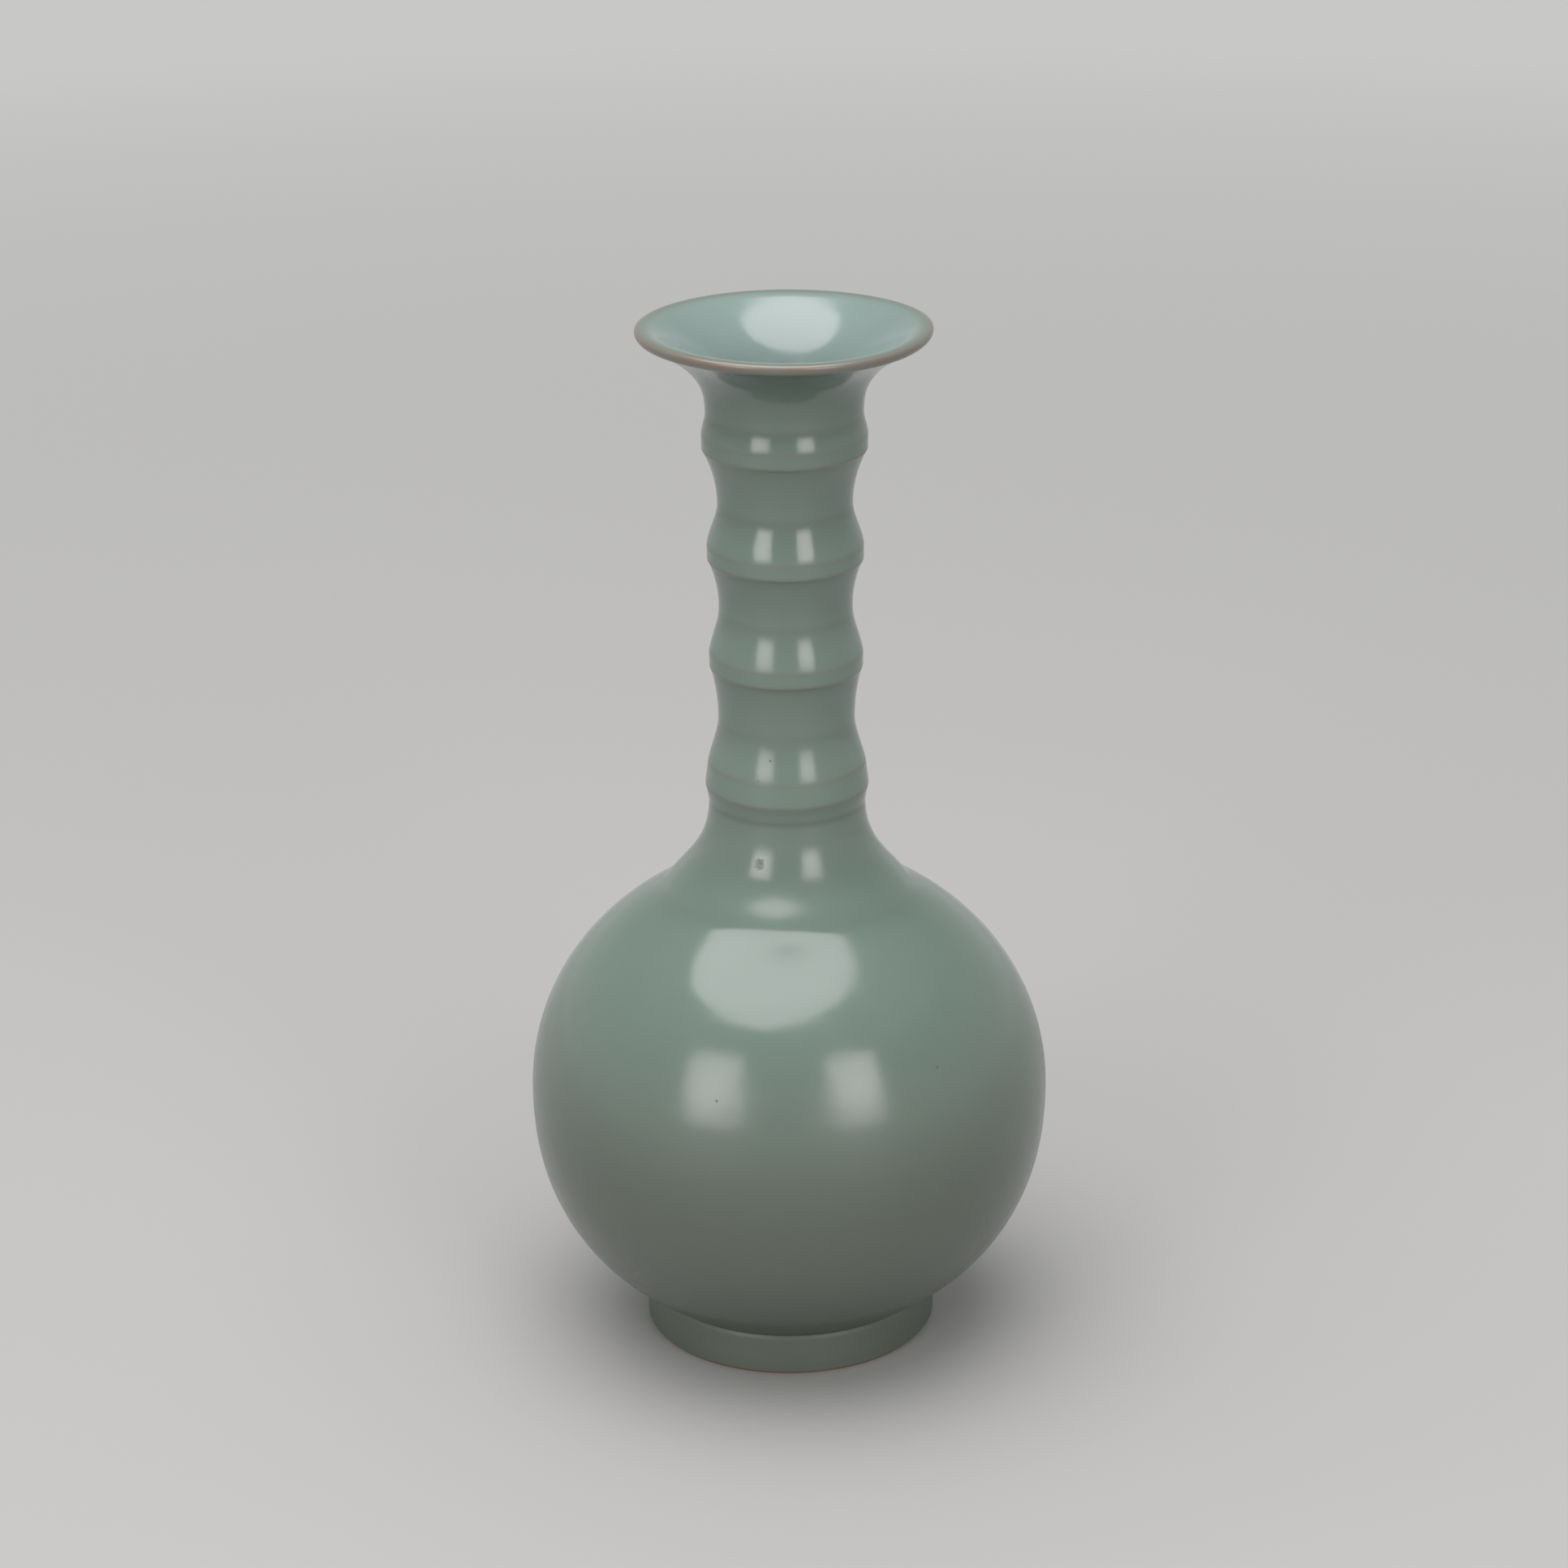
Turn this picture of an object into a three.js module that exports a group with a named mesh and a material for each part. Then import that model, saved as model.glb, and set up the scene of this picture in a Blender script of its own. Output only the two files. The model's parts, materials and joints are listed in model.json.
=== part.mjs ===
// A bamboo-joint bottle vase in celadon stoneware.
// Clay sections are thrown one by one, stacked, luted with slip, and then glazed inside and out.
// Millimetres, +Z up. The origin is the centre of the foot rim, on the surface that the vase stands on.
// Every piece is a solid of revolution about Z, and pieces that touch share the same points.
// Radii and heights are those of the finished skin, over the glaze, unless a note says clay.

import * as THREE from "three";

// Driving sizes
const sides = 24; // flat sides of each turned solid
const glazeThickness = 0.5;
const slipThickness = 0.6;

const foot = {
  radius: 39.3,
  height: 10.8, // up to its sharp upper edge
  ringHeight: 8.8, // of the clay ring by itself
  width: 4.9, // of the clay ring, inside to outside
  bevel: 0.9, // on both lower edges
  bareHeight: 1.5, // clay left without glaze inside the well
  grooveDepth: 1, // of the hollow between the foot and the belly
  grooveSoftness: 0.6, // how far the glaze fills that hollow
};

const belly = {
  radius: 69.55,
  upperReach: 64, // half height of the ellipse above the widest level
  lowerReach: 67.7, // half height of the fuller curve below it
  lowerFullness: 2.3, // 2 is an ellipse, more is fuller
  footGap: 1, // from the foot's edge up to where the curve starts
  wall: 5.5, // clay
  floorThickness: 5.5, // clay
  seamRise: 1.5, // the luted seam is higher inside than outside
};

const collar = {
  ringRadius: 33.15, // of the faint ring where its flare meets the belly
  filletRise: 1.03, // how far the belly's clay is drawn up to that ring
  filletReach: 2.66, // how far out from the ring this fillet falls to a third
  ringLean: 20, // degrees that the flare leans in where it leaves the ring
  ringHandle: 6, // how far it keeps that lean
  wallHandle: 14, // how far it is nearly upright before it meets the wall
  wallRadius: 20.8,
  wallHeight: 5.25, // from the flare up to the upper edge
  edgeRadius: 21.7, // of the upper edge
  edgeDrop: 3, // from the lowest joint down to the upper edge
  height: 33.3, // from the ring up to the lowest joint
  seamDrop: 5, // the luted seam is lower inside, where it meets the belly's hollow
};

// Neck segments, from the lowest to the highest. Each one has a short upright band at its lower edge,
// a crest above it, a flank that falls in to the waist, and a fillet that spreads to the next joint.
const segments = [
  { place: "low", length: 28.9, band: 2.6, crest: 20.8, flank: 10.7, waist: 18, fillet: 14.8 },
  { place: "middle", length: 29.4, band: 4.1, crest: 20.25, flank: 11.4, waist: 17.55, fillet: 12.7 },
  { place: "high", length: 29.7, band: 3.9, crest: 20.5, flank: 7.1, waist: 17.65, fillet: 17.5 },
];
const edgeFall = 0.25; // how far each lower edge lies inside its crest
const seamDrop = 0.42; // from a joint's edge down to the middle of its luted seam
const seamRise = 1.5; // the same seam is higher inside than outside

const mouth = {
  height: 32.4, // from the highest joint up to the top of the lip
  band: 3.8,
  crest: 21.6,
  throat: 20.6,
  throatHeight: 9.3, // of the narrowest level above the joint
  flarePower: 2.55, // how sharply it turns outwards
  insideDepth: 62, // of the hollow flare, down from the lip
  insidePower: 6.5,
};

const lip = {
  radius: 38.2,
  underside: 1.9, // height from the flare up to the widest level
  crown: 1.3, // height from the widest level up to the top
  rootInset: 1.6, // of the flare's end
  crownInset: 2.2, // of the top
  width: 5.7, // from the widest level in to the hollow flare
  fall: 0.75, // of the inner edge below the top
};
const boreRadius = 13.5; // of the clay inside the neck

// Heights that follow from them
const grooveRadius = foot.radius - foot.grooveDepth;
const widestHeight =
  foot.height +
  belly.footGap +
  belly.lowerReach * (1 - (grooveRadius / belly.radius) ** 2) ** (1 / belly.lowerFullness);
const ringHeight = bellyLevel(collar.ringRadius, 0) + collar.filletRise;
const joints = [ringHeight + collar.height];
for (const segment of segments) joints.push(joints.at(-1) + segment.length);
const mouthBase = joints.at(-1);
const top = mouthBase + mouth.height;
const slipTop = foot.ringHeight + slipThickness;
const wellRadius = foot.radius - glazeThickness - foot.width;

const steps = (count, point) => Array.from({ length: count }, (_, i) => point(i));
const smooth = (t) => t * t * (3 - 2 * t);

// The belly's radius at a level, inset by the given depth: r = R sqrt(1 - |dz / reach|^n), with n = 2 above.
function bellyRadius(z, inset) {
  const dz = z - widestHeight;
  const reach = (dz > 0 ? belly.upperReach : belly.lowerReach) - inset;
  const fullness = dz > 0 ? 2 : belly.lowerFullness;
  const left = 1 - Math.abs(dz / reach) ** fullness;
  return (belly.radius - inset) * Math.sqrt(Math.max(left, 0));
}

// The level above the widest one at which the belly has a given radius: the same formula turned round.
function bellyLevel(r, inset) {
  return widestHeight + (belly.upperReach - inset) * Math.sqrt(1 - (r / (belly.radius - inset)) ** 2);
}

// Levels from low up to the widest one and on to high, at even angles of the wall's curve.
function bellyLevels(count, low, high) {
  const angle = (i) => ((i / count) * Math.PI) / 2;
  return [
    ...steps(count, (i) => widestHeight - (widestHeight - low) * Math.cos(angle(i))),
    ...steps(count + 1, (i) => widestHeight + (high - widestHeight) * Math.sin(angle(i))),
  ];
}

// Points on a quarter of an ellipse round a centre, from one angle to another, in quarter turns.
function quarter(r, z, halfWidth, halfHeight, from, count) {
  return steps(count, (i) => {
    const a = ((from + i / count) * Math.PI) / 2;
    return [r + halfWidth * Math.cos(a), z + halfHeight * Math.sin(a)];
  });
}

// Points of the skin, as [radius, height], from the foot up to the lip and down the inside to the floor

function footSkin() {
  const { radius, height, bevel } = foot;
  const edge = 0.2; // the upper edge is this much rounded
  return [
    [radius, bevel + glazeThickness],
    [radius, height - 3 * edge],
    [radius - edge, height],
  ];
}

// Above the groove the skin is the larger of two radii, rounded where they cross:
// r = g + (d + sqrt(d^2 + 4 s^2)) / 2, g being the groove's radius, d the belly's beyond it, s the softness.
// Above the widest level the fillet lifts it towards the ring: z = ellipse + rise e^(-(r - ring) / reach).
function bellySkin() {
  const low = foot.height + belly.footGap / 2;
  return bellyLevels(7, low, bellyLevel(collar.ringRadius, 0)).map((z) => {
    const r = bellyRadius(z, 0);
    const fillet = collar.filletRise * Math.exp((collar.ringRadius - r) / collar.filletReach);
    if (z > widestHeight) return [r, z + fillet];
    const beyond = r - grooveRadius;
    return [grooveRadius + (beyond + Math.hypot(beyond, 2 * foot.grooveSoftness)) / 2, z];
  });
}

// The flare is one cubic curve: it rises from the ring, leans in, and meets the wall upright.
function collarSkin() {
  const { ringRadius, ringHandle, wallRadius, wallHandle, edgeRadius } = collar;
  const edgeZ = joints[0] - collar.edgeDrop;
  const wallZ = edgeZ - collar.wallHeight;
  const lean = (collar.ringLean * Math.PI) / 180;
  const flare = new THREE.CubicBezierCurve(
    new THREE.Vector2(ringRadius, ringHeight),
    new THREE.Vector2(ringRadius - ringHandle * Math.sin(lean), ringHeight + ringHandle * Math.cos(lean)),
    new THREE.Vector2(wallRadius, wallZ - wallHandle),
    new THREE.Vector2(wallRadius, wallZ),
  );
  return [
    ...flare.getPoints(8).slice(1).map((p) => [p.x, p.y]),
    [(wallRadius + 2 * edgeRadius) / 3, edgeZ - collar.wallHeight / 3],
    [edgeRadius, edgeZ - collar.wallHeight / 7],
    [edgeRadius - edgeFall / 2, edgeZ],
  ];
}

// From a joint's edge up to the crest
function bandSkin(z, { band, crest }) {
  return [
    [crest - edgeFall, z],
    [crest, z + band],
  ];
}

// r = waist + (end - waist) t^2 in the fillet, and a smooth step from the crest to the waist in the flank.
function segmentSkin(segment, z, next) {
  const { length, band, crest, flank, waist } = segment;
  const crestZ = z + band;
  const fillet = Math.min(segment.fillet, length - band - flank);
  const start = z + length - fillet;
  const end = next.crest - edgeFall;
  const count = 4;
  return [
    ...bandSkin(z, segment),
    ...steps(count - 1, (i) => {
      const t = (i + 1) / count;
      return [crest - (crest - waist) * smooth(t), crestZ + flank * t];
    }),
    [waist, (crestZ + flank + start) / 2],
    ...steps(count - 1, (i) => {
      const t = (i + 1) / count;
      return [waist + (end - waist) * t ** 2, start + fillet * t];
    }),
  ];
}

// The top section narrows to its throat and ends in a flare: r = throat + (root - throat) t^n.
function mouthSkin() {
  const throatZ = mouthBase + mouth.throatHeight;
  const rootZ = top - lip.crown - lip.underside;
  const root = lip.radius - lip.rootInset;
  const count = 7;
  const flare = steps(count, (i) => {
    const t = i / count;
    return [mouth.throat + (root - mouth.throat) * t ** mouth.flarePower, throatZ + (rootZ - throatZ) * t];
  });
  return [...bandSkin(mouthBase, mouth), ...flare];
}

// Round the lip: two quarter ellipses outside, then z = top - fall t^2 in to the hollow flare.
function lipSkin() {
  const { radius, underside, crown, rootInset, crownInset, width, fall } = lip;
  const widest = top - crown;
  const count = 3;
  return [
    ...quarter(radius - rootInset, widest, rootInset, underside, -1, count),
    ...quarter(radius - crownInset, widest, crownInset, crown, 0, count),
    ...steps(count + 1, (i) => {
      const t = i / count;
      return [radius - crownInset - (width - crownInset) * t, top - fall * t ** 2];
    }),
  ];
}

// Down the mouth, the bore and the belly's hollow. The clay's own sizes rule here, and the skin lies on it.
// The hollow flare is r = bore + (lip - bore) t^n, with t the height over its depth, sampled at even steps
// of the square root of its widening.
function insideSkin() {
  const inset = glazeThickness + belly.wall + glazeThickness;
  const bore = boreRadius - glazeThickness;
  const spread = lip.radius - lip.width - bore;
  const flareEnd = top - lip.fall - mouth.insideDepth;
  const count = 8;
  const flare = steps(count, (i) => {
    const s = 1 - (i + 1) / count;
    return [bore + spread * s ** 2, flareEnd + mouth.insideDepth * s ** (2 / mouth.insidePower)];
  });
  const round = 1.5; // radius of the edge between the bore and the hollow
  const high = bellyLevel(bore + round, inset);
  const low = slipTop + belly.floorThickness + glazeThickness;
  const hollow = bellyLevels(6, low, high).map((z) => [bellyRadius(z, inset), z]);
  return [...flare, [bore, high + round], ...hollow.reverse(), [0, low]];
}

// The clay under the skin: each point goes in by the glaze's thickness, square to the line through the
// points before and after it.
function underGlaze(line) {
  return line.map(([r, z], i) => {
    const [r0, z0] = line[Math.max(i - 1, 0)];
    const [r1, z1] = line[Math.min(i + 1, line.length - 1)];
    const length = Math.hypot(r1 - r0, z1 - z0);
    const inR = (-(z1 - z0) / length) * glazeThickness;
    const inZ = ((r1 - r0) / length) * glazeThickness;
    return [r === 0 ? 0 : r + inR, z + inZ];
  });
}

const outside = [...footSkin(), ...bellySkin(), ...collarSkin()];
segments.forEach((segment, i) => outside.push(...segmentSkin(segment, joints[i], segments[i + 1] ?? mouth)));
outside.push(...mouthSkin());
const lipLine = lipSkin();
const skin = [...outside, ...lipLine, ...insideSkin()];
const lipStart = outside.length;
const lipEnd = lipStart + lipLine.length - 1;
const clay = underGlaze(skin);

// Seams between clay sections: levels on the outside and inside walls, at the middle of the slip
const seams = [
  { name: "slip_belly", out: widestHeight, in: widestHeight + belly.seamRise },
  { name: "slip_shoulder", out: ringHeight, in: ringHeight - collar.seamDrop },
  ...[...segments, { place: "top" }].map(({ place }, i) => ({
    name: "slip_joint_" + place,
    out: joints[i] - seamDrop,
    in: joints[i] - seamDrop + seamRise,
  })),
];

// A wall as a line that climbs, with a point added at each given level.
function withLevels(line, levels) {
  const out = [...line];
  for (const z of levels) {
    const i = out.findIndex((p) => p[1] > z);
    const [r0, z0] = out[i - 1];
    const [r1, z1] = out[i];
    out.splice(i, 0, [r0 + ((r1 - r0) * (z - z0)) / (z1 - z0), z]);
  }
  return out;
}

const half = slipThickness / 2;
const outLevels = seams.flatMap((s) => [s.out - half, s.out + half]);
const inLevels = seams.flatMap((s) => [s.in - half, s.in + half]);
const outWall = withLevels(clay.slice(0, lipStart + 1), [foot.ringHeight, slipTop, ...outLevels]);
const inWall = withLevels(clay.slice(lipEnd).reverse(), inLevels);
const between = (wall, low, high) => wall.filter((p) => p[1] >= low && p[1] <= high);

// Profiles of the clay sections: up the outside wall, then down the inside wall
const sections = {
  foot_ring: [
    [wellRadius + foot.bevel, 0],
    [foot.radius - glazeThickness - foot.bevel, 0],
    ...between(outWall, 0, foot.ringHeight),
    [wellRadius, foot.ringHeight],
    [wellRadius, foot.bevel],
  ],
};
const neck = segments.map(({ place }) => "neck_segment_" + place);
["lower_belly", "upper_belly", "neck_collar", ...neck, "mouth"].forEach((name, i) => {
  const below = seams[i - 1];
  const above = seams[i];
  const outLine = between(outWall, below ? below.out + half : slipTop, above ? above.out - half : top);
  const inLine = between(inWall, below ? below.in + half : 0, above ? above.in - half : top);
  const crown = above ? [] : clay.slice(lipStart + 1, lipEnd);
  const floor = below ? [] : [[0, slipTop]];
  sections[name] = [...floor, ...outLine, ...crown, ...inLine.reverse()];
});

// Profiles of the slip in the seams
const slips = {
  slip_foot: [
    [wellRadius, foot.ringHeight],
    ...between(outWall, foot.ringHeight, slipTop),
    [wellRadius, slipTop],
  ],
};
for (const seam of seams) {
  slips[seam.name] = [
    ...between(outWall, seam.out - half, seam.out + half),
    ...between(inWall, seam.in - half, seam.in + half).reverse(),
  ];
}

// Profiles of the glaze: up the skin, then back down the clay
const outerGlaze = [...skin.slice(0, lipStart + 1), ...[...outWall].reverse()];
const lipGlaze = [...skin.slice(lipStart, lipEnd + 1), ...clay.slice(lipStart, lipEnd + 1).reverse()];
const innerGlaze = [...skin.slice(lipEnd), ...inWall];
const wellGlaze = [
  [0, slipTop - glazeThickness],
  [wellRadius - glazeThickness, slipTop - glazeThickness],
  [wellRadius - glazeThickness, foot.bareHeight],
  [wellRadius, foot.bareHeight],
  [wellRadius, foot.ringHeight],
  [wellRadius, slipTop],
  [0, slipTop],
];

// Looks of each kind of piece
const clayLook = { color: 0xb9a99a, roughness: 0.85, metalness: 0 };
const slipLook = { color: 0x9a8576, roughness: 0.9, metalness: 0 };
const glazeLook = { color: 0x86a294, roughness: 0.12, metalness: 0 };
const insideLook = { color: 0x9dbcb0, roughness: 0.12, metalness: 0 };
const lipLook = { color: 0xa59186, roughness: 0.2, metalness: 0 };

// A profile turned about Z. One that starts on the axis is closed by it, any other on its first point.
function turned(name, profile, look) {
  const points = profile.map(([r, z]) => new THREE.Vector2(r, z));
  if (profile[0][0] > 0) points.push(points[0].clone());
  const geometry = new THREE.LatheGeometry(points, sides).rotateX(Math.PI / 2);
  const mesh = new THREE.Mesh(geometry, new THREE.MeshStandardMaterial(look));
  mesh.name = name;
  return mesh;
}

const vase = new THREE.Group();
for (const [name, profile] of Object.entries(sections)) vase.add(turned(name, profile, clayLook));
for (const [name, profile] of Object.entries(slips)) vase.add(turned(name, profile, slipLook));
vase.add(turned("outer_glaze", outerGlaze, glazeLook));
vase.add(turned("lip_glaze", lipGlaze, lipLook));
vase.add(turned("inner_glaze", innerGlaze, insideLook));
vase.add(turned("foot_well_glaze", wellGlaze, glazeLook));

export default vase;
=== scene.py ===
import json
import math

import bmesh
import bpy
import numpy as np
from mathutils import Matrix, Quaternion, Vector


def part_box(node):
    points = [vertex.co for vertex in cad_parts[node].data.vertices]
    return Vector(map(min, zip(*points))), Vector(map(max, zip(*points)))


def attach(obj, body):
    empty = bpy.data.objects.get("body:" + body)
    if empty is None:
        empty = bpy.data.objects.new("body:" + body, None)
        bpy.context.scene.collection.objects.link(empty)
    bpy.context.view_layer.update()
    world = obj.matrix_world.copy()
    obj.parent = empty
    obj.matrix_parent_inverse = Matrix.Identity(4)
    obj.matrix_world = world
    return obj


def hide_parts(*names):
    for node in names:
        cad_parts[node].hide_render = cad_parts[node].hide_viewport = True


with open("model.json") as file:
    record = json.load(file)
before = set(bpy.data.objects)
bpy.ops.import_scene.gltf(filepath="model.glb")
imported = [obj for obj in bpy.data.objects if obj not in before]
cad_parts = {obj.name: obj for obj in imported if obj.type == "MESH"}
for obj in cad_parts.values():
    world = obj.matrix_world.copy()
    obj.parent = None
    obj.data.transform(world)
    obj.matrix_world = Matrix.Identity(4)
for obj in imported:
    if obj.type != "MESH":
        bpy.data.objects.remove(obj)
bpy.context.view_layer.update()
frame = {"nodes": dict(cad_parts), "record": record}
mm = 0.001
print("frame loaded:", len(frame["nodes"]), "nodes")


def span(node):
    # lowest and highest level of a node, in millimetres
    low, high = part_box(node)
    return low.z / mm, high.z / mm


def reach(node):
    # radius of a node's widest ring, in millimetres
    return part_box(node)[1].x / mm


# Camera

camera = {
    "side": -0.0008,  # metres, to the left of the vase's axis
    "distance": 1.01586,  # metres, in front of it
    "height": 0.54977,
    "pitch": 21.21,  # degrees below level
    "roll": 0.43,
    "lens": 94.55,  # on a sensor 36 mm wide
}


def addCamera(s):
    # place = (side, -distance, height), looking along +Y, turned down by the pitch after the roll
    data = bpy.data.cameras.new("camera")
    data.lens = s["lens"]
    data.sensor_width = 36.0
    data.clip_end = 50.0
    obj = bpy.data.objects.new("camera", data)
    bpy.context.scene.collection.objects.link(obj)
    obj.rotation_mode = "ZYX"  # roll first, then pitch
    obj.rotation_euler = (math.radians(90.0 - s["pitch"]), 0.0, -math.radians(s["roll"]))
    obj.location = (s["side"], -s["distance"], s["height"])
    bpy.context.scene.camera = obj


addCamera(camera)
bpy.context.scene.view_settings.view_transform = "Standard"
print("camera placed")


# Levels and outline, in millimetres, as rows of [radius, level]

layers = {
    "glaze": 0.5,
    "slip": 0.6,
    "seamBelowEdge": 0.42,  # from a joint's edge down to the middle of its slip
    "bareRim": 1.0,  # height at which the outer glaze starts
    "bareWell": 1.5,  # and the glaze inside the foot
}
half = layers["slip"] / 2
jointSlips = ["slip_joint_low", "slip_joint_middle", "slip_joint_high", "slip_joint_top"]
# middle of each seam, as (outside level, inside level)
seams = {name: (span(name)[0] + half, span(name)[1] - half) for name in ["slip_belly"] + jointSlips}
seams["slip_shoulder"] = (span("slip_shoulder")[1] - half, span("slip_shoulder")[0] + half)
joints = [seams[name][0] + layers["seamBelowEdge"] for name in jointSlips]
widest = seams["slip_belly"][0]
ringLevel = seams["slip_shoulder"][0]
lipTop = span("lip_glaze")[1]
ringTop, slipTop = span("slip_foot")


def rows(r, z):
    # radii and levels side by side, either of them one value for all rows
    return np.stack([np.broadcast_to(r, np.shape(z)), np.broadcast_to(z, np.shape(r))], axis=-1)


def smoothStep(t):
    # 3 t^2 - 2 t^3: from 0 to 1, level at both ends
    return t * t * (3.0 - 2.0 * t)


foot = {
    "radius": reach("foot_ring") + layers["glaze"],
    "edge": slipTop + 1.4,  # its sharp upper edge
    "width": 4.9,  # of the clay ring
    "bevel": 0.9,
    "taper": 0.5,  # how far its upper edge lies inside its lower one
    "taperFrom": 3.0,  # level
    "chamfer": 0.15,
    "groove": 0.9,  # how far the hollow over it lies inside that edge
    "grooveRise": 0.5,  # from the edge up to the start of the hollow
    "softness": 0.6,  # how far the glaze fills that hollow
}
belly = {
    "radius": reach("outer_glaze"),
    "reachUp": 64.0,  # half height of the ellipse above the widest level
    "reachDown": 67.7,
    "fullness": 2.3,  # of the curve below, where 2 is an ellipse
    "wall": 6.5,  # clay and both coats
    "ring": 33.15,  # radius of the ring at its top, where the collar starts
    "filletRise": 1.03,  # how far the clay is drawn up to that ring
    "filletReach": 2.66,
}


def bellyRadius(z, inset):
    # r = R sqrt(1 - |dz / reach|^n): an ellipse above the widest level, a fuller curve below it
    dz = z - widest
    tall = np.where(dz > 0, belly["reachUp"], belly["reachDown"]) - inset
    fullness = np.where(dz > 0, 2.0, belly["fullness"])
    left = 1.0 - np.abs(dz / tall) ** fullness
    return (belly["radius"] - inset) * np.sqrt(np.clip(left, 0.0, 1.0))


def bellyLine():
    # the foot: up its side, tapered and with a chamfer at the top;
    # the groove over it: the larger of two radii, rounded where they cross,
    # r = g + (d + sqrt(d^2 + 4 s^2)) / 2 with d the belly's radius beyond the groove's;
    # the fillet up to the ring: z = ellipse + rise e^(-(r - ring) / reach)
    r, edge, chamfer = foot["radius"], foot["edge"], foot["chamfer"]
    top = r - foot["taper"]
    start = [[r, layers["bareRim"]], [r, foot["taperFrom"]], [top, edge - chamfer], [top - chamfer, edge]]
    a = np.linspace(0.0, math.pi, 700)
    low, high = edge + foot["grooveRise"], ringLevel - belly["filletRise"]
    z = (low + high) / 2 - (high - low) / 2 * np.cos(a)
    full = bellyRadius(z, 0.0)
    groove = top - foot["groove"]
    beyond = full - groove
    filled = groove + (beyond + np.hypot(beyond, 2 * foot["softness"])) / 2
    fillet = belly["filletRise"] * np.exp((belly["ring"] - full) / belly["filletReach"])
    return np.concatenate([start, rows(np.where(z > widest, full, filled), z + np.where(z > widest, fillet, 0.0))])


collar = {
    "radius": 33.15,  # of the faint ring where the flare meets the belly
    "lean": 30.0,  # degrees, where the flare leaves the ring
    "ringHandle": 7.0,
    "wallHandle": 14.2,
    "wall": 20.7,
    "wallHeight": 5.25,
    "edge": 21.7,
    "edgeDrop": 3.0,  # below the lowest joint
    "edgeSide": 0.75,  # upright part of the edge
    "edgeChamfer": 0.125,
}


def collarLine(s):
    # a cubic curve from the ring up to the wall: B(t) = (1-t)^3 a + 3 t (1-t)^2 b + 3 t^2 (1-t) c + t^3 d,
    # then out to the upright edge in two straight steps, the first to two thirds of the way
    edge = joints[0] - s["edgeDrop"]
    wall = edge - s["wallHeight"]
    lean = math.radians(s["lean"])
    a = np.array([s["radius"], ringLevel])
    b = a + s["ringHandle"] * np.array([-math.sin(lean), math.cos(lean)])
    d = np.array([s["wall"], wall])
    c = d - np.array([0.0, s["wallHandle"]])
    t = np.linspace(0.0, 1.0, 160)[:, None]
    flare = (1 - t) ** 3 * a + 3 * t * (1 - t) ** 2 * b + 3 * t ** 2 * (1 - t) * c + t ** 3 * d
    third = [(s["wall"] + 2 * s["edge"]) / 3, edge - s["wallHeight"] / 3]
    side, top = [s["edge"], edge - s["edgeSide"]], [s["edge"] - s["edgeChamfer"], edge]
    return np.concatenate([flare[1:], [third, side, top]])


# Neck segments from the lowest up: upright band, crest, flank down to the waist, fillet out to the next joint.
# snap is how sharply the flank starts at the crest, where the glaze thins to a brown line.
segments = (
    {"band": 2.6, "crest": 20.8, "flank": 12.2, "waist": 18.0, "fillet": 14.8, "snap": 0.9},
    {"band": 4.1, "crest": 20.25, "flank": 11.9, "waist": 17.55, "fillet": 12.7, "snap": 0.75},
    {"band": 3.9, "crest": 20.5, "flank": 11.0, "waist": 17.65, "fillet": 15.0, "snap": 0.45},
)
mouth = {"band": 3.8, "crest": 21.6, "throat": 20.5, "throatHeight": 9.6, "power": 2.55, "snap": 0.6}
jointEdge = {
    "fall": 0.05,  # how far a joint's edge lies inside the crest above it
    "undercut": 0.27,  # how far the neck steps in under that edge
    "slant": 0.6,  # drop of that step as a share of its depth
}


def flankLine(crest, waist, low, high, snap):
    # r = crest - (crest - waist) g, where g = 3 t^2 - 2 t^3 + snap (t - 2 t^2 + t^3)
    t = np.linspace(0.0, 1.0, 60)
    g = smoothStep(t) + snap * (t - 2 * t ** 2 + t ** 3)
    return rows(crest - (crest - waist) * g, low + (high - low) * t)


def segmentLine(s, z, nextZ, nextCrest):
    # band, flank, straight waist, and a fillet r = waist + (end - waist) t^2 up to the next joint's undercut
    crestZ = z + s["band"]
    flankEnd = crestZ + s["flank"]
    start = max(nextZ - s["fillet"], flankEnd)
    t = np.linspace(0.0, 1.0, 60)[1:]
    end = nextCrest - jointEdge["fall"] - jointEdge["undercut"]
    nextZ -= jointEdge["slant"] * jointEdge["undercut"]
    return np.concatenate([
        [[s["crest"] - jointEdge["fall"], z]],
        flankLine(s["crest"], s["waist"], crestZ, flankEnd, s["snap"]),
        rows(s["waist"] + (end - s["waist"]) * t ** 2, start + (nextZ - start) * t),
    ])


lip = {
    "radius": reach("lip_glaze"),
    "underside": 2.3,  # from the flare up to the widest level
    "crown": 0.9,  # from there up to the top
    "rootInset": 2.1,
    "crownInset": 1.7,
    "width": 5.7,
    "fall": 1.0,  # of its inner edge
}
inside = {"bore": 13.0, "depth": 62.0, "power": 6.7, "edge": 1.5}


def mouthLine(s):
    # band and flank as in a segment, then a flare r = throat + (root - throat) t^n
    low = joints[3]
    throatZ = low + s["throatHeight"]
    root = lip["radius"] - lip["rootInset"]
    rootZ = lipTop - lip["crown"] - lip["underside"]
    t = np.linspace(0.0, 1.0, 160)
    return np.concatenate([
        [[s["crest"] - jointEdge["fall"], low]],
        flankLine(s["crest"], s["throat"], low + s["band"], throatZ, s["snap"]),
        rows(s["throat"] + (root - s["throat"]) * t ** s["power"], throatZ + (rootZ - throatZ) * t)[1:-1],
    ])


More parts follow.
